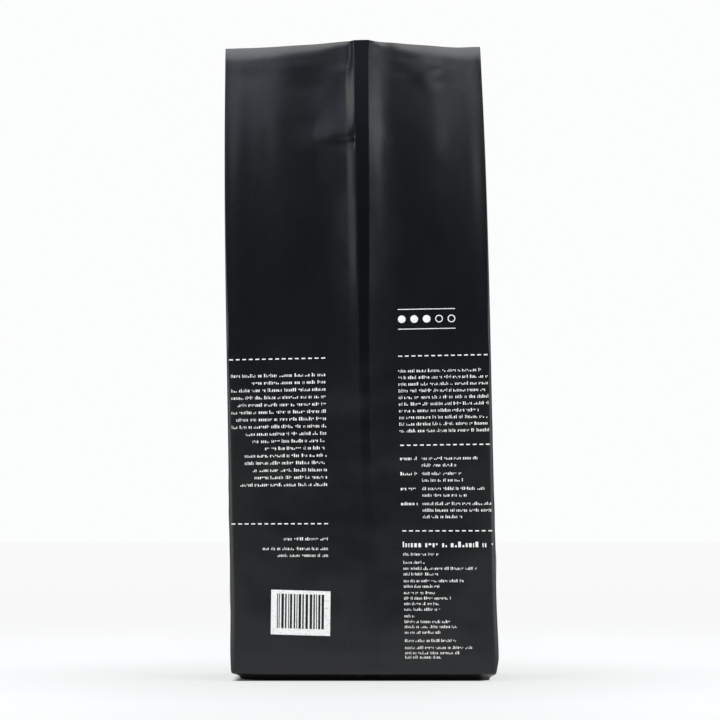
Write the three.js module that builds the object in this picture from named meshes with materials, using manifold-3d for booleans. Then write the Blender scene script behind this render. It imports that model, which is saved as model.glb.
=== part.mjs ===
// A one-kilogram coffee bag of laminated film with side gussets: filled, sealed flat across the top
// and standing upright, with a one-way degassing valve on its front panel.
// Millimetres, +Z up. The back panel and its folded centre seam face -Y, the valve faces +Y.

import * as THREE from "three";
import { mergeVertices } from "three/addons/utils/BufferGeometryUtils.js";
import Module from "manifold-3d";

const wasm = await Module();
wasm.setup();

// Driving dimensions of the bag
const panelWidth = 138;      // front and back panels, corner crease to corner crease
const bagDepth = 76;         // corner crease to corner crease across a gusset
const bagHeight = 342.5;     // floor to the top of the back seam
const lean = 6.6;            // how far the top stands to the left of the base
const baseShift = 3.18;      // the base stands right of the origin, which is the middle of the box
const taperStart = 140;      // above this height the panels close towards the seal
const closingPower = 2.3;    // slowly at first
const gussetFold = 38.5;     // film from a corner crease to the gusset's middle crease
const backBelly = 3;         // swell of the filled back panel
const frontBelly = 3.9;      // swell of the filled front panel
const sideBelly = 1.2;       // swell of the filled gussets
const baseRound = 4;         // radius under the bottom edges
const cornerRound = 2.6;     // corner creases beside the filling
const creaseRound = 0.5;     // corner creases where the film is folded flat
const baseTuckDepth = 5;     // how far the gusset is pulled in where it goes under the bag
const baseTuckHeight = 38;
const cornerBulge = 0.5;     // swell of the packed bottom corners
const cornerBulgeHeight = 15;

// The welded band along the top
const sealHeight = 12;
const sealThickness = 1.4;
const sealBow = 12;          // how far its middle stands out towards the back
const sealSlope = 0.36;      // it leans on like the back panel below it
const curlHeight = 6;        // its topmost strip turns back further
const curlReach = 3;
const topDrop = 1.8;         // its corners are lower than the seam

// The centre seam of the back panel, folded flat to the right
const finWidth = 7.6;
const finThickness = 0.9;
const finRamp = 1.6;         // from the seam's root to its full thickness
const finRootTop = 0.3;      // where its root runs, right of the panel's middle
const finRootBase = -1.2;
const ridgeHeight = 2.4;     // the stiff seam holds the upper film out
const ridgeLeft = 5;
const ridgeRight = 10;

// The degassing valve on the front panel
const valveHeight = 258;
const valveRadius = 11;
const valveThickness = 1.2;
const valveRimWidth = 1.4;
const valveRimRise = 0.5;
const valveEdgeRound = 0.3;
const ventRadius = 0.7;
const ventCircle = 3.6;
const vents = 5;
const valveGap = 0.3;

const sealFoot = bagHeight - sealHeight;

const mix = THREE.MathUtils.lerp;
const ease = (from, to, value) => THREE.MathUtils.smoothstep(value, from, to);

// How far the panels have closed at a height: 0 beside the filling, 1 at the seal
function closing(z) {
  return THREE.MathUtils.clamp((z - taperStart) / (sealFoot - taperStart), 0, 1);
}

// Quarter round under the bottom edges
function baseInset(z) {
  const below = Math.max(0, 1 - z / baseRound);
  return baseRound * (1 - Math.sqrt(1 - below * below));
}

function halfWidth(z) {
  const fromBulge = (z - cornerBulgeHeight) / cornerBulgeHeight;
  return panelWidth / 2 + cornerBulge * Math.exp(-fromBulge * fromBulge) - baseInset(z);
}

function halfDepth(z) {
  const closed = Math.pow(closing(z), closingPower);
  return mix(bagDepth / 2, sealThickness / 2, closed) - baseInset(z);
}

function creaseRadius(z) {
  const beside = mix(cornerRound, creaseRound, ease(taperStart, taperStart + 120, z));
  return Math.min(beside, halfDepth(z) * 0.8);
}

function centreLine(z) {
  return baseShift - (lean * z) / bagHeight;
}

// How far the gusset's middle crease is folded in
function tuck(z) {
  const half = Math.min(halfDepth(z), gussetFold);
  const folded = Math.sqrt(gussetFold * gussetFold - half * half);
  const closedOff = ease(1, 4.5, half);
  return folded * ease(taperStart - 20, taperStart + 90, z) * closedOff;
}

// How far the gusset is pulled in where it goes under the bag
function baseTuck(z) {
  return baseTuckDepth * Math.max(0, 1 - z / baseTuckHeight);
}

// Sideways shape of the bow: a soft tent, highest at the seam and flat at the corners
function tent(across) {
  const soft = 0.12;
  const away = Math.sqrt(across * across + soft * soft) - soft;
  return Math.pow(Math.max(0, 1 - away), 1.5);
}

// The sheet halfway between the two panels: flat below, bowed to the back at the seal,
// and leaning away from the back in the welded band
function midSheet(across, z) {
  const bow = sealBow * ease(taperStart + 60, sealFoot, z) * tent(across);
  const above = Math.max(0, z - sealFoot);
  const curl = Math.max(0, z - (bagHeight - curlHeight)) / curlHeight;
  return above * sealSlope + curl * curl * curlReach * (0.5 + 0.5 * Math.abs(across)) - bow;
}

// Swell of a filled panel of the given belly
function swell(belly, across, z) {
  const filled = ease(0, 60, z) * (1 - ease(sealFoot - 80, sealFoot, z));
  return belly * filled * (1 - across * across);
}

function finRoot(z) {
  return mix(finRootBase, finRootTop, z / bagHeight);
}

// Height of the seam's ridge at x, measured from the panel's middle
function ridge(x, z) {
  const root = finRoot(z);
  const left = ease(root - ridgeLeft, root, x);
  const right = 1 - ease(root + finWidth, root + finWidth + ridgeRight, x);
  return ridgeHeight * ease(taperStart, taperStart + 140, z) * left * right;
}

// The corners of the top edge are a little lower than its middle
function settled(across, z) {
  return z - topDrop * ease(sealFoot - 60, bagHeight, z) * Math.pow(Math.abs(across), 0.8);
}

function backPoint(x, z, proud = 0) {
  const across = x / halfWidth(z);
  const y = midSheet(across, z) - halfDepth(z) - swell(backBelly, across, z) - ridge(x, z) - proud;
  return new THREE.Vector3(centreLine(z) + x, y, settled(across, z));
}

function frontPoint(x, z) {
  const across = x / halfWidth(z);
  const y = midSheet(across, z) + halfDepth(z) + swell(frontBelly, across, z);
  return new THREE.Vector3(centreLine(z) + x, y, settled(across, z));
}

// A gusset's film from one corner crease to the other: along runs from -1 at the back to 1 at the front
function gussetPoint(side, along, z) {
  const reach = halfDepth(z) - creaseRadius(z);
  const slack = 1 - Math.abs(along);
  const belly = sideBelly * ease(10, 60, z) * (1 - ease(taperStart - 20, taperStart + 40, z));
  const fromCrease = belly * (1 - along * along) - (tuck(z) + baseTuck(z)) * slack;
  const x = side * (halfWidth(z) + fromCrease);
  const across = THREE.MathUtils.clamp(x / halfWidth(z), -1, 1);
  return new THREE.Vector3(centreLine(z) + x, midSheet(across, z) + along * reach, settled(across, z));
}

// A rounded corner crease, turning from the panel to the gusset or back
function cornerPoints(side, face, z) {
  const radius = creaseRadius(z);
  const points = [];
  for (const turn of [0.5, 1.1]) {
    const x = halfWidth(z) - radius * (1 - Math.sin(turn));
    const y = halfDepth(z) - radius * (1 - Math.cos(turn));
    points.push(new THREE.Vector3(centreLine(z) + side * x, midSheet(side, z) + face * y, settled(side, z)));
  }
  return points;
}

function spread(from, to, count) {
  return Array.from({ length: count }, (_, i) => mix(from, to, i / (count - 1)));
}

const gussetStations = [-1, -0.8, -0.6, -0.4, -0.2, 0, 0.2, 0.4, 0.6, 0.8, 1];

// One closed outline of the bag, anticlockwise from above, starting at its back left corner
function outline(z) {
  const edge = halfWidth(z) - creaseRadius(z);
  const root = finRoot(z);
  const free = root + finWidth;
  const left = spread(-edge, root - ridgeLeft, 9).map((x) => backPoint(x, z));
  const seam = [
    backPoint(root - ridgeLeft / 2, z),
    backPoint(root, z),
    backPoint(root + finRamp, z, finThickness),
    backPoint(free, z, finThickness),
    backPoint(free + 0.1, z),
    backPoint(free + ridgeRight / 2, z),
  ];
  const right = spread(free + ridgeRight, edge, 8).map((x) => backPoint(x, z));
  const front = spread(edge, -edge, 13).map((x) => frontPoint(x, z));
  return [
    ...left, ...seam, ...right,
    ...cornerPoints(1, -1, z),
    ...gussetStations.map((along) => gussetPoint(1, along, z)),
    ...cornerPoints(1, 1, z).reverse(),
    ...front,
    ...cornerPoints(-1, 1, z),
    ...gussetStations.map((along) => gussetPoint(-1, -along, z)),
    ...cornerPoints(-1, -1, z).reverse(),
  ];
}

// A closed solid through outlines that are stacked from the bottom up
function stack(outlines) {
  const around = outlines[0].length;
  const corners = outlines.flat().flatMap((point) => point.toArray());
  const faces = [];
  for (let level = 0; level < outlines.length - 1; level++) {
    for (let i = 0; i < around; i++) {
      const next = (i + 1) % around;
      const low = level * around;
      const high = low + around;
      faces.push(low + i, low + next, high + next, low + i, high + next, high + i);
    }
  }
  const lid = (ring) => THREE.ShapeUtils.triangulateShape(ring.map((p) => new THREE.Vector2(p.x, p.y)), []);
  for (const [a, b, c] of lid(outlines[0])) {
    faces.push(a, c, b);
  }
  const top = (outlines.length - 1) * around;
  for (const [a, b, c] of lid(outlines.at(-1))) {
    faces.push(top + a, top + b, top + c);
  }
  const geometry = new THREE.BufferGeometry();
  geometry.setAttribute("position", new THREE.Float32BufferAttribute(corners, 3));
  geometry.setIndex(faces);
  return geometry;
}

// Heights of the outlines: close together where the shape turns
function levels() {
  return [
    ...[0, 0.07, 0.25, 0.6, 1].map((share) => share * baseRound),
    9, 15, 22, 30, 38,
    ...spread(55, taperStart, 6),
    ...spread(taperStart + 11, sealFoot - 15, 15),
    sealFoot - 9, sealFoot - 5, sealFoot - 2.5, sealFoot - 1, sealFoot,
    sealFoot + 3, bagHeight - curlHeight, bagHeight - curlHeight / 2, bagHeight - curlHeight / 4, bagHeight,
  ];
}

function bag() {
  const film = new THREE.MeshStandardMaterial({ color: 0x1b1d1f, roughness: 0.42, metalness: 0 });
  const mesh = new THREE.Mesh(stack(levels().map(outline)), film);
  mesh.name = "bag";
  return mesh;
}

// A closed solid for cutting, from a geometry whose faces share their corners
function solid(geometry) {
  geometry.deleteAttribute("normal");
  geometry.deleteAttribute("uv");
  const merged = mergeVertices(geometry);
  const vertProperties = Float32Array.from(merged.attributes.position.array);
  const triVerts = Uint32Array.from(merged.index.array);
  return new wasm.Manifold(new wasm.Mesh({ numProp: 3, vertProperties, triVerts }));
}

function geometryOf(manifold) {
  const { vertProperties, triVerts } = manifold.getMesh();
  const geometry = new THREE.BufferGeometry();
  geometry.setAttribute("position", new THREE.BufferAttribute(vertProperties, 3));
  geometry.setIndex(new THREE.BufferAttribute(triVerts, 1));
  return geometry;
}

// A moulded disc with a raised rim and a circle of vents, turned about its Y axis, back at y = 0
function valveDisc() {
  const inner = valveRadius - valveRimWidth;
  const high = valveThickness + valveRimRise;
  const profile = [
    [0, 0], [valveRadius, 0], [valveRadius, high - valveEdgeRound], [valveRadius - valveEdgeRound, high],
    [inner + valveEdgeRound, high], [inner, valveThickness], [0, valveThickness],
  ];
  const turned = new THREE.LatheGeometry(profile.map(([r, y]) => new THREE.Vector2(r, y)), 40);
  let disc = solid(turned);
  for (let i = 0; i < vents; i++) {
    const turn = (i / vents) * 2 * Math.PI;
    const drill = new THREE.CylinderGeometry(ventRadius, ventRadius, 4 * valveThickness, 12);
    drill.translate(ventCircle * Math.sin(turn), 0, ventCircle * Math.cos(turn));
    disc = disc.subtract(solid(drill));
  }
  return geometryOf(disc);
}

// The disc lies on the front panel, square to the film and just clear of its highest point
function valve() {
  const seat = frontPoint(0, valveHeight);
  const alongX = frontPoint(1, valveHeight).sub(frontPoint(-1, valveHeight));
  const alongZ = frontPoint(0, valveHeight + 1).sub(frontPoint(0, valveHeight - 1));
  const outward = alongZ.cross(alongX).normalize();
  let proud = 0;
  for (const x of [-valveRadius, 0, valveRadius]) {
    for (const up of [-valveRadius, 0, valveRadius]) {
      proud = Math.max(proud, frontPoint(x, valveHeight + up).sub(seat).dot(outward));
    }
  }
  const plastic = new THREE.MeshStandardMaterial({ color: 0x17181a, roughness: 0.35, metalness: 0 });
  const mesh = new THREE.Mesh(valveDisc(), plastic);
  mesh.name = "valve";
  mesh.position.copy(seat).addScaledVector(outward, proud + valveGap);
  mesh.quaternion.setFromUnitVectors(new THREE.Vector3(0, 1, 0), outward);
  return mesh;
}

const coffeeBag = new THREE.Group();
coffeeBag.add(bag(), valve());

export default coffeeBag;
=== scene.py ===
"""A one-kilogram coffee bag of black laminated film, standing on its base with its back to the viewer.

Metres, +Z up. The back panel with its centre seam faces -Y, the front panel with the valve faces +Y.
Sizes of the folded film are worked out in millimetres and turned into metres as each vertex is placed.
"""

import math

import bmesh
import bpy
import numpy as np
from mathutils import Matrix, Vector, noise


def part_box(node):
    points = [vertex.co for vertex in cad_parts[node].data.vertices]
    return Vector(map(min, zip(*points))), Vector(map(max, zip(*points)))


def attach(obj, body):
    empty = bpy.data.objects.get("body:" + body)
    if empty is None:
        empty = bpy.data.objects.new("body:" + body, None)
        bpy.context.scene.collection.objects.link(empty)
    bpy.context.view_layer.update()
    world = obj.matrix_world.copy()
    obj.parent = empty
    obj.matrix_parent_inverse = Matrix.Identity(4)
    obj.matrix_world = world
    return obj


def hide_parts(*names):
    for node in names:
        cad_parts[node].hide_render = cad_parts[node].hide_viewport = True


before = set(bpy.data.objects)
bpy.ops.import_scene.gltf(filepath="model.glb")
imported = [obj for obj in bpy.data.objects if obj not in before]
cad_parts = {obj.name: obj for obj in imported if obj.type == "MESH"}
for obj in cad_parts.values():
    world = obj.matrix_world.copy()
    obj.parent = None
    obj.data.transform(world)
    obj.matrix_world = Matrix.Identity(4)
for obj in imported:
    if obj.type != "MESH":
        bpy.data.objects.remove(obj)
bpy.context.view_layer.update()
MM = 0.001


# ---------------------------------------------------------------------------------------------
# Camera and room: a long lens low down and square to the back panel, a white floor that runs
# into a white background, large soft lights to both sides and above, and a dark camera side.
# ---------------------------------------------------------------------------------------------
CAMERA_AT = Vector((0.0032, -1.238, 0.0735))
LENS_MM = 115.5
SENSOR_MM = 36
LOOK_UP = math.radians(4.41)
LOOK_LEFT = math.radians(0.1245)

bpy.ops.object.select_all(action="DESELECT")
bpy.ops.object.camera_add(location=CAMERA_AT)
camera = bpy.context.object
camera.name = "camera"
camera.data.lens = LENS_MM
camera.data.sensor_width = SENSOR_MM
camera.data.clip_start = 0.05
camera.data.clip_end = 60
camera.rotation_mode = "QUATERNION"
ahead = Vector((
    -math.sin(LOOK_LEFT) * math.cos(LOOK_UP),
    math.cos(LOOK_LEFT) * math.cos(LOOK_UP),
    math.sin(LOOK_UP),
))
camera.rotation_quaternion = ahead.to_track_quat("-Z", "Y")
bpy.context.scene.camera = camera
bpy.context.scene.view_settings.view_transform = "Standard"


def softbox(name, at, target, width, height, watts, tint=(1, 1, 1)):
    """A large soft light at a place, turned to a target. The camera doesn't see the lamp itself."""
    bpy.ops.object.light_add(type="AREA", location=at)
    lamp = bpy.context.object
    lamp.name = name
    lamp.data.shape = "RECTANGLE"
    lamp.data.size = width
    lamp.data.size_y = height
    lamp.data.energy = watts
    lamp.data.color = tint
    lamp.visible_camera = False
    lamp.rotation_mode = "QUATERNION"
    lamp.rotation_quaternion = (Vector(target) - Vector(at)).to_track_quat("-Z", "Y")


softbox("light_left", (-1.29, -0.705, 0.64), (0, 0, 0.29), 1.37, 1.5, 15.3)
softbox("light_right", (1.29, -0.705, 0.64), (0, 0, 0.29), 1.38, 1.5, 15.2)
softbox("light_left_high", (-0.62, -0.70, 1.5), (0, 0, 0.3), 0.55, 0.55, 0.5, (0.74, 0.90, 1.32))
softbox("light_right_high", (0.68, -0.70, 1.5), (0, 0, 0.3), 0.55, 0.55, 0.33, (0.94, 0.98, 1.06))
softbox("light_over", (0, 0.1, 1.55), (0, 0, 0.2), 1.8, 1.3, 27)
softbox("light_behind", (0, 1.6, 0.9), (0, 0, 0.2), 1.8, 1.0, 10)


class Shading:
    """The node tree of one material or of the room: adds nodes and hands back their sockets."""

    def __init__(self, owner):
        owner.use_nodes = True
        self.tree = owner.node_tree
        self.tree.nodes.clear()

    def add(self, kind, settings=None, **sockets):
        """A node of a kind: its settings first, then the values or links of its sockets, by name."""
        node = self.tree.nodes.new("ShaderNode" + kind)
        for key, value in (settings or {}).items():
            setattr(node, key, value)
        for key, value in sockets.items():
            self.plug(self.find(node, key), value)
        return Made(self, node)

    @staticmethod
    def find(node, key):
        """A node's input by its name with _ for spaces, or by its number, as in_0."""
        if key.startswith("in_"):
            return node.inputs[int(key[3:])]
        wanted = key.replace("_", " ").lower()
        return next(s for s in node.inputs if s.name.lower() == wanted and s.enabled)

    def plug(self, socket, value):
        """Links a wire to a socket, or sets a plain value on it."""
        if isinstance(value, Wire):
            self.tree.links.new(value.socket, socket)
        else:
            socket.default_value = value

    def sum(self, operation, first, second):
        """A Math node on one or two numbers."""
        return self.add("Math", {"operation": operation}, in_0=first, in_1=second)[0]

    def vector(self, operation, first, second=(0, 0, 0)):
        """A Vector Math node on one or two vectors."""
        return self.add("VectorMath", {"operation": operation}, in_0=first, in_1=second)

    def axes(self, place):
        """A place's X, Y and Z."""
        return self.add("SeparateXYZ", Vector=place)

    def cloudy(self, place, scale, detail=2.0, roughness=0.5):
        """Noise round 0.5, with this many waves to the metre."""
        return self.add("TexNoise", Vector=place, Scale=scale, Detail=detail, Roughness=roughness)[0]

    def blend(self, share, low, high):
        """A colour between two colours."""
        blended = self.add("Mix", {"data_type": "RGBA"}, in_0=share, in_6=low, in_7=high)
        return blended[2]

    def smooth(self, value, start, end):
        """0 below start, 1 above end, and a smooth step between."""
        smoothed = {"interpolation_type": "SMOOTHSTEP"}
        return self.add("MapRange", smoothed, Value=value, From_Min=start, From_Max=end)[0]


class Made:
    """A node that was added; its outputs are its items."""

    def __init__(self, shading, node):
        self.shading = shading
        self.node = node

    def __getitem__(self, which):
        return Wire(self.shading, self.node.outputs[which])


class Wire:
    """A socket that carries a number, with the sums that materials are written in."""

    def __init__(self, shading, socket):
        self.shading = shading
        self.socket = socket

    def __add__(self, other):
        return self.shading.sum("ADD", self, other)

    def __radd__(self, other):
        return self.shading.sum("ADD", other, self)

    def __sub__(self, other):
        return self.shading.sum("SUBTRACT", self, other)

    def __rsub__(self, other):
        return self.shading.sum("SUBTRACT", other, self)

    def __mul__(self, other):
        return self.shading.sum("MULTIPLY", self, other)

    def __abs__(self):
        return self.shading.sum("ABSOLUTE", self, 0.0)


ROOM_SEEN = (0.972, 0.978, 0.980, 1)      # what the camera sees behind the bag
ROOM_LOW = (0.018, 0.021, 0.025, 1)       # what the dim room gives to the bag, from the horizon
ROOM_HIGH = (0.25, 0.28, 0.32, 1)         # up to the ceiling
ROOM_BESIDE = (0.20, 0.22, 0.25, 1)       # and out to its two sides

world = bpy.data.worlds.new("room")
bpy.context.scene.world = world
room = Shading(world)
seen = room.add("LightPath")["Is Camera Ray"]
towards = room.axes(room.add("TexCoord")["Generated"])
given = room.blend(room.smooth(towards["Z"], 0.24, 0.92), ROOM_LOW, ROOM_HIGH)
given = room.blend(room.smooth(abs(towards["X"]), 0.1, 0.8), given, ROOM_BESIDE)
glow = room.add("Background", Color=room.blend(seen, given, ROOM_SEEN), Strength=1.0)
room.add("OutputWorld", Surface=glow[0])

FLOOR_RADIUS = 40
PAINTED_SHADOW_FOOTPRINT = (0.062, 0.034, 0)             # half the length and width of the painted shadow under the bag, about where it stands
# The floor's glow is painted dark under the bag's foot as a painted contact shadow, which eases up within
# a few millimetres.
PAINTED_SHADOW_UNDER_BAG = (0.015, 0.015, 0.016, 1)
# Close to the bag the glow is lower, partly to even out the lamps' light there and partly as painted
# shade: darkest just beside the bag, and darker in front of it than at its sides.
PAINTED_SHADE_BESIDE_BAG = (0.645, 0.648, 0.645, 1)
PAINTED_SHADE_BEFORE_BAG = (0.68, 0.683, 0.683, 1)
PAPER_ASIDE = (0.733, 0.736, 0.738, 1)
PAPER_FAR = (0.935, 0.938, 0.940, 1)
PAPER_FURTHEST = (0.945, 0.948, 0.950, 1)
PAPER_LIT = (0.17, 0.17, 0.172, 1)        # what the lights add to the glow, near the bag alone
NOTHING = (0, 0, 0, 1)

bpy.ops.object.select_all(action="DESELECT")
bpy.ops.mesh.primitive_circle_add(vertices=96, radius=FLOOR_RADIUS, fill_type="NGON", location=(0, 0, 0))
floor = bpy.context.object
floor.name = "floor"
paper = bpy.data.materials.new("white_paper")
ground = Shading(paper)
spot = ground.add("TexCoord")["Object"]
from_bag = ground.vector("LENGTH", spot)["Value"]
beside = ground.vector("ABSOLUTE", spot)["Vector"]
clear = ground.vector("MAXIMUM", ground.vector("SUBTRACT", beside, PAINTED_SHADOW_FOOTPRINT)["Vector"])["Vector"]
gap = ground.vector("LENGTH", clear)["Value"]
# near: the painted contact shadow under the bag, lifting to the painted shade beside it.
near = ground.blend(ground.smooth(gap, 0.0, 0.005), PAINTED_SHADOW_UNDER_BAG, PAINTED_SHADE_BESIDE_BAG)
# Painted shade: the floor glows less in front of the bag than at its sides.
aside = ground.smooth(ground.axes(beside)["X"], 0.02, 0.16)
painted_shade_in_front = ground.blend(aside, PAINTED_SHADE_BEFORE_BAG, PAPER_ASIDE)
painted_shade_around_bag = ground.blend(ground.smooth(from_bag, 0.05, 0.25), near, painted_shade_in_front)
further = ground.blend(ground.smooth(from_bag, 0.3, 0.9), painted_shade_around_bag, PAPER_FAR)
sheet = ground.add(
    "BsdfPrincipled",
    Base_Color=ground.blend(ground.smooth(from_bag, 0.3, 0.9), PAPER_LIT, NOTHING),
    Roughness=0.9,
    Specular_IOR_Level=0.0,
    Emission_Color=ground.blend(ground.smooth(from_bag, 0.8, 4.0), further, PAPER_FURTHEST),
    Emission_Strength=1.0,
)
ground.add("OutputMaterial", Surface=sheet[0])
floor.data.materials.append(paper)


# ---------------------------------------------------------------------------------------------
# The film: one web of black laminate, folded into a tube with a gusset at each side, welded flat
# across the top and folded shut under the base. It starts as a flat grid and is folded here:
# round the filling below, and closing towards the weld above with both gussets tucked in.
# ---------------------------------------------------------------------------------------------
PANEL_WIDTH = 138
BAG_DEPTH = 76
BAG_HEIGHT = 342.5
LEAN = 6.6                                # how far the bag leans to the left on its way up
BASE_SHIFT = 3.18
TAPER_START = 140
CLOSING_POWER = 2.3
GUSSET_FOLD = 38.5
BACK_BELLY = 3
FRONT_BELLY = 3.9
SIDE_BELLY = 1.2
CORNER_ROUND = 1.6
CREASE_ROUND = 0.5
CORNER_TURNS = [0.25, 0.6, 0.95, 1.3]
CORNER_BULGE = 0.5
CORNER_BULGE_HEIGHT = 15

# How far the film has run in under the bottom edge, at each height.
BASE_INSET = [0, 0.8, 1.6, 2.2, 2.7, 3.2, 3.8, 4.6, 5.6], [7.4, 7.0, 6.2, 5.0, 3.4, 1.5, 0.5, 0.12, 0]
BASE_INSET_ASIDE = 0.62
BASE_TUCK_DEPTH = 5
BASE_TUCK_HEIGHT = 38
BASE_DISH = 0.75
BASE_PLEATS = 0.12
LEFT_CORNER_LIFT = 0.7
RIGHT_CORNER_DENT = 1.0

SEAL_HEIGHT = 12
SEAL_THICKNESS = 1.4
SEAL_BOW = 12
SEAL_SLOPE = 0.35
SEAL_FOOT = BAG_HEIGHT - SEAL_HEIGHT
BOW_FOOT = TAPER_START + 60
SEAM_ACROSS = 0.055                       # the seam's place across the weld, as a share of half of it

# The weld bows out to the seam: its share of the bow, by how far it is from the seam to a side.
TENT_PLACES = [0.02, 0.115, 0.205, 0.305, 0.415, 0.555, 0.705, 0.855, 0.995]
TENT_LEFT = [1, 0.925, 0.88, 0.845, 0.795, 0.70, 0.455, 0.20, 0]
TENT_RIGHT = [1, 0.925, 0.88, 0.845, 0.795, 0.70, 0.44, 0.175, 0]
TENT_MIDDLE = 0.06

# The weld's upper edge curls back: how tall the curl is, by how far it is from the seam.
CURL_SLOPE = 0.40
CURL_HEIGHT = [0, 0.1, 0.2, 0.32, 0.47, 0.65, 0.95], [3, 3.2, 4.2, 6.2, 7.4, 8.2, 9.5]

# How far the welded top hangs, from the left side to the right.
HANG_PLACES = [
    -1, -0.72, -0.57, -0.42, -0.29, -0.18, -0.1, -0.05, 0.0, 0.1, 0.2, 0.33, 0.45, 0.56, 0.68, 0.8, 1,
]
HANG = [2.75, 3.3, 3.4, 3.0, 2.65, 2.1, 1.7, 1.55, 1.75, 1.65, 1.95, 2.1, 2.6, 2.9, 3.1, 2.95, 1.8]

# The seam holds the upper film out into a ridge, with two folds pulled to it from the left.
FIN_ROOT_TOP = 0.7
FIN_ROOT_BASE = -1.2
FIN_WIDTH = [62, 105, 150, 200, 250, 300, 335, BAG_HEIGHT], [8.8, 5.4, 5.4, 6.0, 6.8, 7.1, 7.5, 8.2]
RIDGE_PLACES = [0, 145, 174, 198, 209, 226, 251, 271, 292, 312, BAG_HEIGHT]
RIDGE_HEIGHT = [0.34, 0.55, 1.25, 2.25, 2.65, 3.0, 3.1, 3.1, 3.32, 3.22, 3.08]
RIDGE_REACH = [TAPER_START, 208, 251, 271, 292, 306], [15, 17, 21, 18.5, 15.5, 13.5]
STEEP_REACH = 4.8                         # its left side: a steep part, or a broad one lower down
STEEP_REACH_AT_WELD = 2.4
BROAD_REACH = 21
BROAD_REACH_LOW = 17.5
UPPER_FOLD = 288
LOWER_FOLD = 205
PINCH_AT = UPPER_FOLD - 4.5
GUSSET_EDGE_LEFT = 32.5                   # where the folded gussets end behind the upper panels
GUSSET_EDGE_RIGHT = 34.0
DENT_ACROSS = -25
CRUMPLE_ACROSS = 39
CRUMPLE_HEIGHT = 327

VALVE_HIGH = 1.7                          # its whole thickness, rim included
VALVE_TILT = math.radians(22.06)          # the front panel leans back where the valve sits
VALVE_FACES = Vector((0, math.cos(VALVE_TILT), math.sin(VALVE_TILT)))
valve_low, valve_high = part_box("valve")
VALVE_SEAT = (Vector(valve_low) + Vector(valve_high)) / 2 / MM - VALVE_FACES * VALVE_HIGH / 2
WELD_RING_RADIUS = 12.6


def ease(start, end, value):
    """0 before start, 1 after end, and a smooth step between, for start below end."""
    share = np.clip((np.asarray(value, float) - start) / (end - start), 0, 1)
    return share * share * (3 - 2 * share)


def mix(low, high, share):
    """From low to high, by a share from 0 to 1."""
    return low + (high - low) * share


def hump(value, middle, reach):
    """1 at the middle, falling away smoothly on both sides."""
    return np.exp(-(((np.asarray(value, float) - middle) / reach) ** 2))


def over(value, soft):
    """The value where it is above 0, and 0 below, with a soft turn between."""
    return 0.5 * (value + np.sqrt(value * value + soft * soft))


def smooth_through(value, places, shares):
    """A smooth curve through the given places, flat beyond both ends."""
    value = np.clip(value, places[0], places[-1])
    step = np.clip(np.searchsorted(places, value, side="right") - 1, 0, len(places) - 2)
    places = np.asarray(places, float)
    shares = np.asarray(shares, float)
    slopes = np.gradient(shares, places)
    slopes[0] = slopes[-1] = 0
    wide = places[step + 1] - places[step]
    t = (value - places[step]) / wide
    start = (1 + 2 * t) * (1 - t) ** 2 * shares[step] + t * (1 - t) ** 2 * wide * slopes[step]
    return start + t * t * (3 - 2 * t) * shares[step + 1] + t * t * (t - 1) * wide * slopes[step + 1]


def spread(places, counts):
    """Even steps from each place to the next, this many in each stretch."""
    stretches = []
    for start, end, count in zip(places, places[1:], counts):
        stretches.append(np.linspace(start, end, count + 1)[:-1])
    return np.concatenate(stretches + [places[-1:]])


def drift(x, y, z, size, seed):
    """Slow uneven noise from -1 to 1 at each point, with waves of about that size."""
    shift = Vector((seed * 17.3, seed * -9.1, seed * 5.7))
    points = np.broadcast_arrays(np.asarray(x, float), np.asarray(y, float), np.asarray(z, float))
    flat = np.stack([p.ravel() for p in points], 1) / size
    values = np.array([noise.noise(Vector(p) + shift) for p in flat])
    return values.reshape(points[0].shape)


def closing(z):
    """How far the two panels have come together: 0 over the filling, 1 at the weld."""
    span = SEAL_FOOT - TAPER_START
    return np.clip(1 - over(SEAL_FOOT - z, 4) / span, 0, 1)


def base_inset(z):
    """The film turns under the bottom edge and runs in to where the bag stands."""
    return np.interp(z, *BASE_INSET)


def half_width(z):
    """From the middle of a panel to its side creases."""
    flattened = mix(-0.12, 0.45, ease(120, 300, z))
    bulged = CORNER_BULGE * hump(z, CORNER_BULGE_HEIGHT, CORNER_BULGE_HEIGHT)
    return PANEL_WIDTH / 2 + (flattened + bulged) - base_inset(z) * BASE_INSET_ASIDE


def half_depth(z):
    """From the middle of the bag to a panel, at its side creases."""
    return mix(BAG_DEPTH / 2, SEAL_THICKNESS / 2, closing(z) ** CLOSING_POWER) - base_inset(z)


def crease_radius(z):
    """The corners are round over the filling and sharp where the film is flattened."""
    beside = mix(CORNER_ROUND, CREASE_ROUND, ease(TAPER_START, TAPER_START + 120, z))
    return np.minimum(beside, half_depth(z) * 0.8)


def centre_line(z):
    """The middle of the bag, which leans to the left."""
    return BASE_SHIFT - LEAN * z / BAG_HEIGHT


def tuck(z):
    """How far a gusset is folded in, so that its web keeps its width as the panels close."""
    half = np.minimum(half_depth(z), GUSSET_FOLD)
    folded = np.sqrt(GUSSET_FOLD ** 2 - half ** 2)
    return folded * ease(TAPER_START - 20, TAPER_START + 90, z) * ease(1, 4.5, half)


def base_tuck(z):
    """A gusset is drawn in a little where the base is folded shut."""
    return BASE_TUCK_DEPTH * np.clip(1 - z / BASE_TUCK_HEIGHT, 0, 1)


def tent(across):
    """How far the bowed weld stands out to the viewer: most at the seam, with a shelf on each side."""
    on_left = across < TENT_MIDDLE
    beyond_seam = over(across - 2 * TENT_MIDDLE, 0.02) / (1 - 2 * TENT_MIDDLE)
    away = np.where(on_left, over(-across, 0.02), beyond_seam)
    left = smooth_through(away, TENT_PLACES, TENT_LEFT)
    right = smooth_through(away, TENT_PLACES, TENT_RIGHT)
    return np.where(on_left, left, right)


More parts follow.
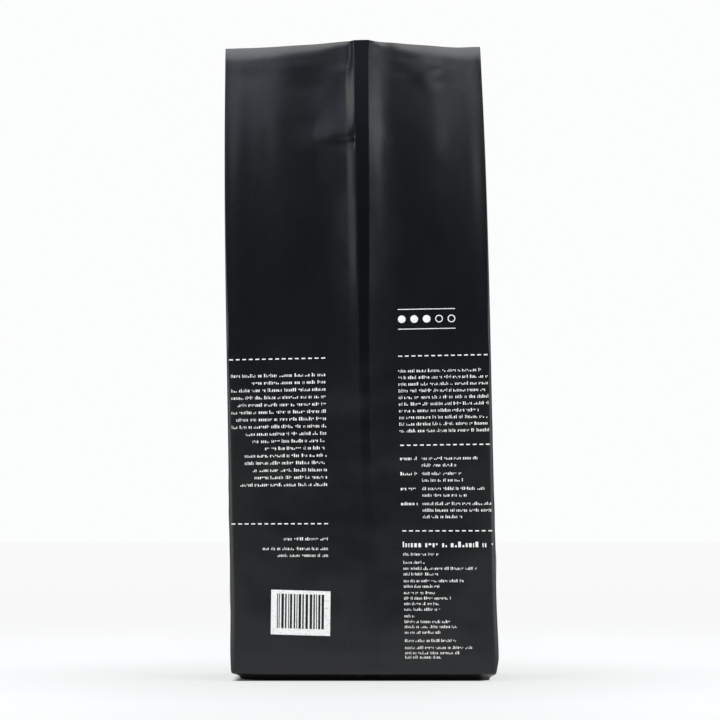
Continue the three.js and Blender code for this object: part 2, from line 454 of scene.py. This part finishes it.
def mid_sheet(across, z):
    """The middle of the bag's depth: bowed at the weld, whose edge curls back where no seam holds it."""
    rise = np.clip(1 - over((SEAL_FOOT - z) / (SEAL_FOOT - BOW_FOOT), 0.06), 0, 1)
    aside = np.abs(across - SEAM_ACROSS)
    curl_height = smooth_through(aside, *CURL_HEIGHT)
    free = ease(0.065, 0.115, aside) * (1 - 0.45 * hump(across, 0.3, 0.06))
    curl = over(z - (BAG_HEIGHT - curl_height), 1) / curl_height
    curled = 0.5 * CURL_SLOPE * curl_height * free * curl * curl
    return over(z - SEAL_FOOT, 3) * SEAL_SLOPE + curled - SEAL_BOW * rise ** 1.5 * tent(across)


def settled(across, z):
    """The welded top hangs a little on both sides of the stiff seam, more on the left."""
    return z - smooth_through(across, HANG_PLACES, HANG) * ease(SEAL_FOOT - 60, BAG_HEIGHT, z)


def swell(belly, across, z):
    """The filling has settled: a panel stands out most low down, and is nearly flat across."""
    filled = smooth_through(z, [0, 10, 22, 45, 100, 185, 260], [0, 0.78, 1, 0.92, 0.58, 0.12, 0])
    return 1.35 * belly * filled * (1 - np.abs(across) ** 2.8)


def fin_root(z):
    """Where the back seam rises from the panel."""
    return mix(FIN_ROOT_BASE, FIN_ROOT_TOP, z / BAG_HEIGHT)


def fin_width(z):
    """How far the folded seam lies over the panel to the right of its root."""
    return np.interp(z, *FIN_WIDTH)


def ridge(x, z):
    """The stiff seam holds the upper film out, steeply on its left and in a slack curve on its right."""
    root = fin_root(z)
    below_fold = 1 - ease(UPPER_FOLD - 10, UPPER_FOLD, z)
    slack = 1 - ease(246, 266, z)
    reach = mix(STEEP_REACH, STEEP_REACH_AT_WELD, ease(SEAL_FOOT - 14, SEAL_FOOT + 6, z))
    steep = np.clip((x - root + reach) / reach, 0, 1)
    broad_reach = mix(BROAD_REACH, BROAD_REACH_LOW, slack)
    broad = np.clip((x - root + broad_reach) / broad_reach, 0, 1) ** (1.15 + 0.37 * slack)
    left = mix(0.45 * ease(0, 1, steep) + 0.55 * steep, broad, 0.8 * below_fold + 0.12 * slack)
    right_reach = smooth_through(z, *RIDGE_REACH)
    right = np.clip(1 - (x - root - fin_width(z)) / right_reach, 0, 1) ** 1.7
    height = smooth_through(z, RIDGE_PLACES, RIDGE_HEIGHT)
    pulled = pulled_face(x, z, UPPER_FOLD, reach=22.5, rise=34, height=2.95)
    pulled = pulled + pulled_face(x, z, LOWER_FOLD, reach=14, rise=20, height=0.3)
    gathered = 0.07 * ease(LOWER_FOLD - 6, LOWER_FOLD + 1, z) * (1 - ease(212, 236, z))
    pinched = height * (1 - 0.3 * hump(z, PINCH_AT, 3.2) + gathered)
    return np.where(x < root, pulled + (pinched - pulled) * left, height * right)


def pulled_face(x, z, crest, reach, rise, height):
    """Film pulled out by the seam on its left: a slanting face down to a crest, and a drop below it."""
    inward = np.clip((x - fin_root(z) + reach) / (reach - 4), 0, 1) ** 0.45
    above = (z - crest) / rise
    face = np.maximum(over(inward - over(above, 0.05), 0.08) - 0.02, 0) ** 2
    drop = 1 - ease(0, 1, (crest - z) / 9)
    return height * face * np.where(z > crest, 1, drop)


def gusset_print(x, z):
    """The folded gussets show through the closed upper panels as a soft step on each side."""
    upper = ease(185, 250, z) * (1 - 0.7 * ease(290, SEAL_FOOT, z))
    inner = np.where(x < 0, GUSSET_EDGE_LEFT, GUSSET_EDGE_RIGHT)
    outside = over(np.abs(x) - inner, 1.2) / (PANEL_WIDTH / 2 - inner)
    relief = 0.9 * upper * np.clip(1 - outside, 0, 1)
    rim = ease(0.86, 1, np.abs(x) / (PANEL_WIDTH / 2)) ** 1.5
    return relief - 0.4 * rim * ease(140, 200, z) * (1 - ease(SEAL_FOOT - 20, SEAL_FOOT, z))


def wander(x, y, z):
    """The film is never quite flat: broad dents, and a finer unevenness over the filling."""
    filled = ease(4, 25, z) * (1 - ease(150, 215, z))
    upper = ease(150, 215, z) * (1 - ease(SEAL_FOOT - 6, SEAL_FOOT, z))
    return (
        0.55 * filled * drift(x, y, z, 34, 1)
        + 0.16 * filled * drift(x, y, z, 13, 2)
        + 0.60 * upper * drift(x, y, z * 0.45, 30, 4)
        + 0.10 * upper * drift(x, y, z * 0.6, 9, 5)
    )


def placed(x, y, across, z):
    """Points of the film: shifted along the leaning bag, and down where the welded top hangs."""
    return np.stack(np.broadcast_arrays(centre_line(z) + x, y, settled(across, z)), -1)


def back_point(x, z, proud=0):
    """The back panel, with its ridge, a dent left of it and a small crumple under the weld."""
    across = x / half_width(z)
    calm = 1 - ease(0.8, 1, np.abs(across))
    crumple = 1.1 * hump(x, CRUMPLE_ACROSS, 13) * hump(z, CRUMPLE_HEIGHT, 8) * drift(x, 0, z, 9, 3)
    dent = 1.2 * hump(x, DENT_ACROSS, 11) * ease(278, 296, z) * (1 - ease(314, SEAL_FOOT, z))
    out = swell(BACK_BELLY, across, z) + ridge(x, z) + proud
    out = out + gusset_print(x, z) + crumple - dent + calm * wander(x, -40, z)
    return placed(x, mid_sheet(across, z) - half_depth(z) - out, across, z)


def front_point(x, z, proud=0):
    """The front panel is pushed out further up than the back, and lies flat behind the valve."""
    across = x / half_width(z)
    calm = 1 - ease(0.93, 1, np.abs(across))
    filled = ease(0, 60, z) * (1 - ease(SEAL_FOOT - 80, SEAL_FOOT, z))
    belly = FRONT_BELLY * filled * (1 - across * across)
    y = mid_sheet(across, z) + half_depth(z) + (belly + 0.7 * gusset_print(x, z) + calm * wander(x, 40, z))
    up = z - VALVE_SEAT.z
    from_valve = np.hypot(x, up / math.cos(VALVE_TILT))
    weld_ring = 0.25 * hump(from_valve, WELD_RING_RADIUS, 0.8)
    seat = VALVE_SEAT.y - up * math.tan(VALVE_TILT) - 0.15 - weld_ring
    return placed(x, mix(y, seat, 1 - ease(13.5, 34, from_valve)) + proud, across, z)


def gusset_point(side, along, z):
    """A side gusset, from its back crease (along -1) to its front crease (along 1)."""
    reach = half_depth(z) - crease_radius(z)
    slack = 1 - np.abs(along)
    belly = SIDE_BELLY * ease(10, 60, z) * (1 - ease(TAPER_START - 20, TAPER_START + 40, z))
    calm = ease(0, 0.3, slack) * ease(6, 30, z) * (1 - ease(SEAL_FOOT - 40, SEAL_FOOT - 10, z))
    broad, fine = (drift(side * 60, along * 38, z, size, seed) for size, seed in [(26, 6), (9, 7)])
    uneven = calm * (0.8 * broad + 0.2 * fine)
    from_crease = belly * (1 - along * along) - (tuck(z) + base_tuck(z)) * slack + uneven
    x = side * (half_width(z) + from_crease)
    across = np.clip(x / half_width(z), -1, 1)
    return placed(x, mid_sheet(across, z) + along * reach, across, z)


def corner_point(side, face, turn, z):
    """A rounded corner of the film, turn 0 at the gusset and a quarter turn at the panel."""
    radius = crease_radius(z)
    x = half_width(z) - radius * (1 - np.sin(turn))
    y = half_depth(z) - radius * (1 - np.cos(turn))
    edge = side + 0 * z
    return placed(side * x, mid_sheet(edge, z) + face * y, edge, z)


def film_stations():
    """Where each lengthwise line of the web lies, anticlockwise from the back left corner."""
    even = spread([-1, 1], [40])
    along = np.sin(even * math.pi / 2) * 0.45 + even * 0.55
    near_crease = np.sign(along) * np.abs(along) ** 1.15
    stations = [("back", u) for u in spread([-1, -0.24, 0.3, 1], [43, 61, 39])]
    stations += [("corner", (1, -1, t)) for t in CORNER_TURNS]
    stations += [("gusset", (1, a)) for a in near_crease]
    stations += [("corner", (1, 1, t)) for t in CORNER_TURNS[::-1]]
    stations += [("front", u) for u in spread([1, 0.24, -0.24, -1], [25, 47, 25])]
    stations += [("corner", (-1, 1, t)) for t in CORNER_TURNS]
    stations += [("gusset", (-1, -a)) for a in near_crease]
    stations += [("corner", (-1, -1, t)) for t in CORNER_TURNS[::-1]]
    return stations


def film_line(kind, where, z):
    """The points of one lengthwise line of the web at heights z."""
    if kind == "back":
        return back_point(where * (half_width(z) - crease_radius(z)), z)
    if kind == "front":
        return front_point(where * (half_width(z) - crease_radius(z)), z)
    if kind == "gusset":
        return gusset_point(*where, z)
    return corner_point(*where, z)


def under_base(rim, inward):
    """Points of the folded base: the rim drawn in towards the middle, by 0 to 1, and dished a little."""
    inner_x = half_width(0.0) - half_depth(0.0)
    x = rim[..., 0] - BASE_SHIFT
    narrowed = x * mix(1, inner_x / half_width(0.0), inward)
    dished = BASE_DISH * ease(0.08, 0.5, inward)
    pleats = BASE_PLEATS * np.sin(x * 0.31 + inward * 9) * ease(0.1, 0.4, inward)
    return np.stack([BASE_SHIFT + narrowed, rim[..., 1] * (1 - inward), dished + pleats], -1)


def grid_places(grid, columns, rows):
    """The column and the row that each vertex of a flat grid of size 1 is on."""
    flat = np.empty(len(grid.data.vertices) * 3)
    grid.data.vertices.foreach_get("co", flat)
    flat = flat.reshape(-1, 3) + 0.5
    return np.rint(flat[:, 0] * columns).astype(int), np.rint(flat[:, 1] * rows).astype(int)


def folded_web(name, points):
    """A flat grid folded round into a tube, through points in millimetres, by line and by height."""
    columns = points.shape[0]
    rows = points.shape[1] - 1
    bpy.ops.object.select_all(action="DESELECT")
    bpy.ops.mesh.primitive_grid_add(x_subdivisions=columns, y_subdivisions=rows, size=1)
    web = bpy.context.object
    web.name = name
    column, row = grid_places(web, columns, rows)
    web.data.vertices.foreach_set("co", (points[column % columns, row] * MM).ravel())
    web.data.update()
    close_web(web)
    return web


def close_web(web):
    """Joins the web's long edges, fills what is open at its ends, and points its faces outwards."""
    same_place = 1e-6
    bpy.ops.object.select_all(action="DESELECT")
    web.select_set(True)
    bpy.context.view_layer.objects.active = web
    bpy.ops.object.mode_set(mode="EDIT")
    bpy.ops.mesh.select_all(action="SELECT")
    bpy.ops.mesh.remove_doubles(threshold=same_place)
    bpy.ops.mesh.dissolve_degenerate(threshold=same_place)
    bpy.ops.mesh.select_all(action="DESELECT")
    bpy.ops.mesh.select_mode(type="EDGE")
    bpy.ops.mesh.select_non_manifold(
        extend=False, use_wire=False, use_multi_face=False, use_non_contiguous=False, use_verts=False,
    )
    bpy.ops.mesh.fill(use_beauty=True)
    bpy.ops.mesh.select_all(action="SELECT")
    bpy.ops.mesh.normals_make_consistent(inside=False)
    bpy.ops.object.mode_set(mode="OBJECT")


def fold_film():
    """The whole web: each lengthwise line runs from the middle of the base out, and up to the weld."""
    foot = [0, 0.4, 1, 1.6, 2.2, 2.8, 3.3, 3.8, 4.3, 4.9]
    heights = np.concatenate([foot, spread([5.7, TAPER_START, SEAL_FOOT, BAG_HEIGHT], [89, 141, 14])])
    inward = spread([1, 0], [15])[:-1]
    lines = []
    for kind, where in film_stations():
        side = film_line(kind, where, heights)
        base = np.stack([under_base(side[0], share) for share in inward])
        line = np.concatenate([base, side])
        out = line[:, 0] - BASE_SHIFT
        line[:, 2] += LEFT_CORNER_LIFT * ease(52, 66, -out) * (1 - ease(1, 6, line[:, 2]))
        pressed_in = ease(60, 69, out) * (ease(2, 4, line[:, 2]) - ease(4, 12, line[:, 2]))
        line[:, 0] -= RIGHT_CORNER_DENT * pressed_in
        lines.append(line)
    return np.stack(lines)


film = folded_web("film", fold_film())
bpy.ops.object.shade_smooth_by_angle(angle=math.radians(40))

FILM_BLACK = (0.0034, 0.0042, 0.0056, 1)
FILM_WORN_AND_SHEEN = (0.018, 0.0185, 0.020, 1)
CREASE_AT = PANEL_WIDTH / 2
CREASE_SHEEN = 1.2                          # a painted highlight along the side creases, this far in


def film_finish(name, roughness, peel, smoother_above=0.0, shine=0.5):
    """Satin laminate: near black, with a cloudy gloss, a fine orange peel, faint rubbing and a painted
    highlight along the side creases.
    """
    material = bpy.data.materials.new(name)
    s = Shading(material)
    place = s.add("TexCoord")["Object"]
    height = s.axes(place)["Z"]
    above = s.smooth(height, 0.085, 0.135) * 0.75 + s.smooth(height, 0.22, 0.28) * 0.25
    roughness = roughness - above * smoother_above
    clouds = s.cloudy(place, 38.0, 4.0, 0.55)
    grain = s.cloudy(place, 2200.0)
    soft = s.cloudy(place, 150.0)
    streaks = s.add("Mapping", Vector=place, Scale=(260.0, 260.0, 18.0))[0]
    rubbed = s.smooth(s.cloudy(streaks, 1.0, 5.0, 0.65), 0.60, 0.78) * s.smooth(clouds, 0.45, 0.7)
    from_middle = abs(s.axes(place)["X"] + height * (LEAN / BAG_HEIGHT) - BASE_SHIFT * MM)
    # A painted highlight along the side creases, lighter in cloudy patches; the same lighter colour also
    # serves the real rubbing.
    crease = s.smooth(from_middle, (CREASE_AT - CREASE_SHEEN) * MM, CREASE_AT * MM)
    painted_crease_sheen = crease * s.smooth(clouds, 0.35, 0.6)
    finish = s.add(
        "BsdfPrincipled",
        Base_Color=s.blend(rubbed * 0.35 + painted_crease_sheen * 0.5, FILM_BLACK, FILM_WORN_AND_SHEEN),
        Roughness=roughness + (clouds - 0.5) * 0.08 + (grain - 0.5) * 0.05 + rubbed * 0.05,
        Normal=s.add("Bump", Strength=peel, Distance=0.00008, Height=grain * 0.12 + soft * 0.88)[0],
        IOR=1.46,
        Specular_IOR_Level=shine,
    )
    s.add("OutputMaterial", Surface=finish[0])
    return material


film.data.materials.append(film_finish("satin_film", 0.28, 0.5))
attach(film, "root")
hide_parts("bag")


# ---------------------------------------------------------------------------------------------
# The back seam: the web's two long edges are welded face to face into a fin, which is folded
# flat to the right. Its welded film is smoother than the rest and lies close on the panel.
# ---------------------------------------------------------------------------------------------
FIN_THICK = 0.45
FIN_FOOT = 1.6
FIN_TOP = BAG_HEIGHT - 0.05
FIN_DRAWN_WIDTH = 7

# Its cross-section, drawn 7 wide: place across, how far past that, and height over the panel.
FIN_SECTION = [
    (-0.25, 0, -0.15), (0.05, 0, FIN_THICK * 0.6), (0.9, 0, FIN_THICK), (3, 0, FIN_THICK + 0.03),
    (5, 0, FIN_THICK + 0.03), (6.6, 0, FIN_THICK), (7, 0, FIN_THICK * 0.98), (7, 0.06, FIN_THICK * 0.5),
    (7, 0, 0), (6.6, 0, -0.05), (3, 0, -0.12), (0.9, 0, -0.18),
]


def fold_fin():
    """The fin lies on the back panel: pressed flush into the filled part, its edge a little free above."""
    z = spread([FIN_FOOT, SEAL_FOOT, FIN_TOP], [149, 11])
    width = fin_width(z)
    lift = 0.12 + 0.10 * drift(0, 0, z, 22, 8)
    pressed = 1 - ease(105, 180, z)
    sunk = 0.95 * FIN_THICK * pressed
    lines = []
    for place, past, height in FIN_SECTION:
        reach = place * width / FIN_DRAWN_WIDTH + past
        free = np.clip(reach / width, 0, 1) ** 2 * (1 - 0.85 * pressed)
        lines.append(back_point(fin_root(z) + reach, z, height + free * lift - sunk))
    return np.stack(lines)


fin = folded_web("back_seam", fold_fin())
bpy.ops.object.shade_smooth_by_angle(angle=math.radians(20))
fin.data.materials.append(film_finish("welded_film", 0.27, 0.25, smoother_above=0.12, shine=0.47))
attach(fin, "root")


# ---------------------------------------------------------------------------------------------
# The print: matt white ink, printed on the film before it is folded. Dashed rules run round the
# whole bag, with columns of small plain marks, a field of bars and rows of dots between them.
# ---------------------------------------------------------------------------------------------
INK_CLEAR = 0.035
INK_THICK = 0.05
INK_THIN = (0.72, 0.72, 0.71, 1)
INK_FULL = (0.93, 0.93, 0.92, 1)
LEFT_MARGIN = -67.6
RIGHT_MARGIN = 67.6
draw = np.random.default_rng(11)

ink = bpy.data.materials.new("white_ink")
s = Shading(ink)
patchy = s.cloudy(s.add("TexCoord")["Object"], 900.0, 3.0, 0.6)
finish = s.add(
    "BsdfPrincipled",
    Base_Color=s.blend(s.smooth(patchy, 0.30, 0.52), INK_THIN, INK_FULL),
    Roughness=0.5 + (patchy - 0.5) * 0.2,
)
s.add("OutputMaterial", Surface=finish[0])


def level_with_film(x, z):
    """Print runs square to the film, which leans to the left above the filling."""
    return z + x * 0.019 * ease(60, 150, z)


def on_back(x, z):
    return back_point(x, level_with_film(x, z), INK_CLEAR)


def on_front(x, z):
    return front_point(x, level_with_film(x, z), INK_CLEAR)


def on_right_gusset(y, z):
    z = level_with_film(CREASE_AT, z)
    return gusset_point(1, y / (half_depth(z) - crease_radius(z)), z) + [INK_CLEAR, 0, 0]


def on_left_gusset(y, z):
    z = level_with_film(-CREASE_AT, z)
    return gusset_point(-1, y / (half_depth(z) - crease_radius(z)), z) - [INK_CLEAR, 0, 0]


# A flat grid laid on each of them faces outwards (1) or into the bag (-1); ink builds up outwards.
INK_SIDE = {on_back: 1, on_right_gusset: 1, on_front: -1, on_left_gusset: -1}


def laid_print(name, across, up, inked, turn=0.0, on=on_back):
    """Ink on the film: a grid with lines at the places across and up, less the cells that aren't inked."""
    columns = len(across) - 1
    rows = len(up) - 1
    bpy.ops.object.select_all(action="DESELECT")
    bpy.ops.mesh.primitive_grid_add(x_subdivisions=columns, y_subdivisions=rows, size=1)
    field = bpy.context.object
    field.name = name
    bpy.ops.object.mode_set(mode="EDIT")
    cells = bmesh.from_edit_mesh(field.data)
    for face in cells.faces:
        middle = face.calc_center_median()
        face.select = not inked[int((middle.x + 0.5) * columns), int((middle.y + 0.5) * rows)]
    bmesh.update_edit_mesh(field.data)
    bpy.ops.mesh.delete(type="FACE")
    bpy.ops.object.mode_set(mode="OBJECT")
    column, row = grid_places(field, columns, rows)
    x = np.asarray(across)[column]
    z = np.asarray(up)[row]
    from_middle_x = x - (across[0] + across[-1]) / 2
    from_middle_z = z - (up[0] + up[-1]) / 2
    points = on(x + from_middle_z * turn, z - from_middle_x * turn)
    field.data.vertices.foreach_set("co", (points * MM).ravel())
    thicken_ink(field, on)


def thicken_ink(field, on):
    """Gives the ink its thickness outwards from the film, and its finish."""
    layer = field.modifiers.new("layer", "SOLIDIFY")
    layer.thickness = INK_THICK * MM
    layer.offset = INK_SIDE[on]
    bpy.context.view_layer.objects.active = field
    bpy.ops.object.modifier_apply(modifier="layer")
    bpy.ops.object.mode_set(mode="EDIT")
    bpy.ops.mesh.select_all(action="SELECT")
    bpy.ops.mesh.normals_make_consistent(inside=False)
    bpy.ops.object.mode_set(mode="OBJECT")
    field.data.materials.append(ink)
    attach(field, "root")


DASH = 2.0
DASH_PITCH = 3.43
RULE_HEIGHT = 0.62
RULE_UPPER = 167.5
RULE_LOWER = 79.0
GUSSET_MARGIN = 34.5


def dashed_rule(name, start, end, z, on=on_back):
    """A row of dashes from a start to an end, the last one cut short there."""
    lines = []
    while start + DASH * 0.5 < end:
        lines += [start, min(start + DASH, end)]
        start += DASH_PITCH
    inked = np.zeros((len(lines) - 1, 1), bool)
    inked[::2] = True
    laid_print(name, lines, [z - RULE_HEIGHT / 2, z + RULE_HEIGHT / 2], inked, on=on)


dashed_rule("rule_left_upper", LEFT_MARGIN, -15.8, 167.4)
dashed_rule("rule_left_lower", LEFT_MARGIN, -16.6, 81.0)
dashed_rule("rule_right_upper", 20.6, RIGHT_MARGIN, 167.6)
dashed_rule("rule_right_middle", 20.6, RIGHT_MARGIN, 121.2)
dashed_rule("rule_right_lower", 20.8, RIGHT_MARGIN, 77.2)
dashed_rule("rule_front_upper", LEFT_MARGIN, RIGHT_MARGIN, RULE_UPPER, on_front)
dashed_rule("rule_front_lower", LEFT_MARGIN, RIGHT_MARGIN, RULE_LOWER, on_front)
for side, gusset in [("right", on_right_gusset), ("left", on_left_gusset)]:
    dashed_rule(f"rule_{side}_gusset_upper", -GUSSET_MARGIN, GUSSET_MARGIN, RULE_UPPER, gusset)
    dashed_rule(f"rule_{side}_gusset_lower", -GUSSET_MARGIN, GUSSET_MARGIN, RULE_LOWER, gusset)

# Small marks, in shares of their size: widths to draw from, the gap, and the steps up one mark.
MARK_WIDTHS = [0.18, 0.24, 0.32, 0.46]
MARK_GAP = 0.33
MARK_STEPS = np.array([0, 0.48, 0.93, 1.28])
MARK_SLACK = 0.01


def marks(name, rows, size, bold=1.0, on=on_back):
    """Rows of small plain blocks in groups, as grey as fine print is from a step away.

    rows: (height of the row, where it starts, where it ends), from the top row down.
    size: the blocks' usual height.
    """
    rows = rows[::-1]
    right = max(end for _, _, end in rows)
    across = [min(start for _, start, _ in rows)]
    while across[-1] < right:
        edge = across[-1] + size * draw.choice(MARK_WIDTHS) * bold
        across += [edge, edge + size * MARK_GAP]
    across.pop()
    up = np.concatenate([z - size / 2 + MARK_STEPS * size for z, _, _ in rows])
    inked = np.zeros((len(across) - 1, len(up) - 1), bool)
    for number, (_, start, end) in enumerate(rows):
        foot = number * len(MARK_STEPS)
        left_in_group = draw.integers(3, 9)
        for column in range(0, len(across) - 1, 2):
            if across[column] < start - MARK_SLACK or across[column + 1] > end + MARK_SLACK:
                continue
            if left_in_group == 0:
                left_in_group = draw.integers(2, 10)
                continue
            left_in_group -= 1
            kind = draw.random()
            inked[column, foot] = kind < 0.86
            inked[column, foot + 1] = kind > 0.14
            inked[column, foot + 2] = 0.66 < kind < 0.84
    laid_print(name, across, up, inked, on=on)


# The left columns end level on their right, the right columns start level on their left.
LEFT_COLUMN = -17.7
widths = [49, 39, 49, 49, 46, 49, 47, 49, 42, 39, 32, 43, 43, 39, 38, 45]
rows = [(158.6 - 3.82 * i, LEFT_COLUMN - w, LEFT_COLUMN) for i, w in enumerate(widths)]
marks("marks_left", rows, 1.36)
marks("marks_left_small", [(73.0, -40.6, -17.2), (68.0, -51.5, -17.2), (64.5, -44.5, -17.2)], 1.25)

RIGHT_COLUMN = 20.4
widths = [44, 47.2, 47, 45, 47.2, 47.2, 42, 46, 46.4, 47]
rows = [(159.7 - 3.47 * i, RIGHT_COLUMN, RIGHT_COLUMN + w) for i, w in enumerate(widths)]
marks("marks_right", rows, 1.30)

# Four short heads, each beside the first of two or three rows that are set in from them.
heights = [114.2, 106.4, 98.7, 91.0]
marks("marks_right_heads", [(z, RIGHT_COLUMN, 29.0) for z in heights], 1.30, bold=1.5)
ends = [60.7, 50.3, 52.2, 52.8, 64.4, 54.6, 67.4, 67.6, 52.2]
heights = [114.2, 110.7, 106.4, 103.0, 98.7, 95.3, 91.0, 87.6, 84.3]
marks("marks_right_steps", [(z, 31.6, end) for z, end in zip(heights, ends)], 1.25)

marks("marks_right_bold", [(69.9, 20.8, 67.6)], 2.2, bold=1.4)
low_rows = [
    (65.1, 18.7), (60.9, 11.2), (57.8, 38.2), (54.9, 17.8), (51.4, 31.3), (48.6, 18.4),
    (45.3, 16.4), (42.5, 24.1), (39.7, 17.8), (36.8, 18.5), (33.4, 5.7), (30.5, 24.1),
    (27.9, 27), (25.0, 18.8), (20.8, 26.8), (17.2, 34.7), (14.5, 28), (12.3, 18.8),
]
marks("marks_right_small", [(z, 21.0, 21.0 + width) for z, width in low_rows], 1.15)

halves = [43, 47, 40, 46, 31]
marks("marks_front", [(136.0 - 4.4 * i, -half, half) for i, half in enumerate(halves)], 1.6, on=on_front)
marks("marks_front_bold", [(151.0, -29.0, 29.0)], 3.2, bold=1.4, on=on_front)
marks("marks_front_small", [(68.0, -14.0, 14.0), (63.6, -19.0, 19.0)], 1.3, on=on_front)

# The bar field: white with bare bars in it, of widths drawn at random, turned a little on the film.
BARS_START = -44.7
BARS_END = -20.2
bars = [BARS_START]
while bars[-1] < BARS_END:
    inked_next = len(bars) % 2
    bars.append(bars[-1] + draw.choice([0.5, 0.8, 1.1, 1.3] if inked_next else [0.4, 0.6, 0.85]))
bars = bars[:len(bars) // 2 * 2]
across = [-47.8, -46.4] + bars + [-18.4, -17.2]
up = [23.7, 25.4, 27.0, 30.5, 34.1, 37.7, 41.2, 44.7, 46.6]
inked = np.ones((len(across) - 1, len(up) - 1), bool)
inked[2:len(across) - 3:2, 2:7] = False
laid_print("bar_field", across, up, inked, turn=0.028)

DOTS = 5
FULL_DOTS = 3
RING_WIDTH = 0.24                         # as a share of a dot's radius, like the next two
RULE_AWAY = 2.6
RULE_HALF = 0.1


def strength_dots(name, x, z, radius, pitch, on):
    """Dots in a row, some of them full, as packs show a strength, with a thin rule above and below."""
    for number in range(DOTS):
        full = number < FULL_DOTS
        bpy.ops.object.select_all(action="DESELECT")
        bpy.ops.mesh.primitive_circle_add(
            vertices=36, radius=radius, fill_type="TRIFAN" if full else "NGON"
        )
        dot = bpy.context.object
        dot.name = f"{name}_dot_{number + 1}"
        if not full:
            bpy.ops.object.mode_set(mode="EDIT")
            bpy.ops.mesh.inset(thickness=RING_WIDTH * radius)
            bpy.ops.mesh.delete(type="FACE")
            bpy.ops.object.mode_set(mode="OBJECT")
        for vertex in dot.data.vertices:
            at = on(x + number * pitch + vertex.co.x, z + vertex.co.y)
            vertex.co = Vector(at * MM)
        thicken_ink(dot, on)
    cells = 16
    middle = x + (DOTS - 1) / 2 * pitch
    lines = middle + spread([-1, 1], [cells]) * ((DOTS - 1) / 2 * abs(pitch) + radius)
    for where, level in [("above", z + RULE_AWAY * radius), ("below", z - RULE_AWAY * radius)]:
        up = [level - RULE_HALF * radius, level + RULE_HALF * radius]
        laid_print(f"{name}_rule_{where}", lines, up, np.ones((cells, 1), bool), on=on)


strength_dots("back", 22.8, 187.0, 2.0, 6.5, on_back)
strength_dots("front", 17.6, 190.0, 2.6, -8.8, on_front)


# ---------------------------------------------------------------------------------------------
# The degassing valve: a disc moulded in black plastic, with a raised rim, a shallow groove, five
# vents through it and a gate mark in its middle. Its back is welded to the front film all round.
# ---------------------------------------------------------------------------------------------
VALVE_RADIUS = 11
VENTS = 5
VENT_RADIUS = 0.7
VENT_CIRCLE = 3.6
PLASTIC_BLACK = (0.016, 0.0165, 0.018, 1)
PLASTIC_RUBBED = (0.030, 0.031, 0.034, 1)

# The steps of its face, from the rim inwards: width, and how far the next ring lies above or below.
VALVE_STEPS = [
    (1.1, 0), (0.25, -0.5),                               # the rim and its inner wall
    (2.7, 0), (0.2, -0.18), (0.45, 0), (0.2, 0.18),       # the face and the groove in it
    (4.7, 0), (0.15, 0.2), (0.35, -0.06),                 # the vented middle and the gate mark
]

bpy.ops.object.select_all(action="DESELECT")
bpy.ops.mesh.primitive_cylinder_add(
    vertices=96, radius=VALVE_RADIUS * MM, depth=VALVE_HIGH * MM, location=(0, 0, VALVE_HIGH * MM / 2)
)
valve = bpy.context.object
valve.name = "valve_disc"
bpy.ops.object.mode_set(mode="EDIT")
bpy.ops.mesh.select_all(action="DESELECT")
disc = bmesh.from_edit_mesh(valve.data)
for face in disc.faces:
    face.select = face.normal.z > 0.9
bmesh.update_edit_mesh(valve.data)
for width, depth in VALVE_STEPS:
    bpy.ops.mesh.inset(thickness=width * MM, depth=depth * MM)
bpy.ops.object.mode_set(mode="OBJECT")
softened = valve.modifiers.new("softened", "BEVEL")
softened.width = 0.14 * MM
softened.segments = 2
softened.angle_limit = math.radians(30)
bpy.ops.object.modifier_apply(modifier="softened")
for number in range(VENTS):
    turn = number / VENTS * 2 * math.pi
    bpy.ops.object.select_all(action="DESELECT")
    bpy.ops.mesh.primitive_cylinder_add(
        vertices=24, radius=VENT_RADIUS * MM, depth=4 * VALVE_HIGH * MM,
        location=(VENT_CIRCLE * MM * math.sin(turn), -VENT_CIRCLE * MM * math.cos(turn), 0),
    )
    drill = bpy.context.object
    vent = valve.modifiers.new("vent", "BOOLEAN")
    vent.operation = "DIFFERENCE"
    vent.object = drill
    bpy.context.view_layer.objects.active = valve
    bpy.ops.object.modifier_apply(modifier="vent")
    bpy.data.objects.remove(drill)
bpy.ops.object.select_all(action="DESELECT")
valve.select_set(True)
valve.rotation_euler = (VALVE_TILT - math.pi / 2, 0, 0)
valve.location = VALVE_SEAT * MM
bpy.ops.object.transform_apply(location=True, rotation=True, scale=True)
bpy.ops.object.shade_smooth_by_angle(angle=math.radians(35))

plastic = bpy.data.materials.new("valve_plastic")
s = Shading(plastic)
place = s.add("TexCoord")["Object"]
from_middle = s.vector("LENGTH", s.vector("SUBTRACT", place, VALVE_SEAT * MM)["Vector"])["Value"]
spark = s.cloudy(place, 2600.0)
on_rim = s.smooth(from_middle, 0.0098, 0.0108)
rubbed = on_rim * s.smooth(s.cloudy(place, 420.0), 0.4, 0.6)
finish = s.add(
    "BsdfPrincipled",
    Base_Color=s.blend(rubbed, PLASTIC_BLACK, PLASTIC_RUBBED),
    Roughness=0.40 + (spark - 0.5) * 0.12 - rubbed * 0.10,
    Normal=s.add("Bump", Strength=0.3, Distance=0.00005, Height=spark)[0],
)
s.add("OutputMaterial", Surface=finish[0])
valve.data.materials.append(plastic)
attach(valve, "root")
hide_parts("valve")
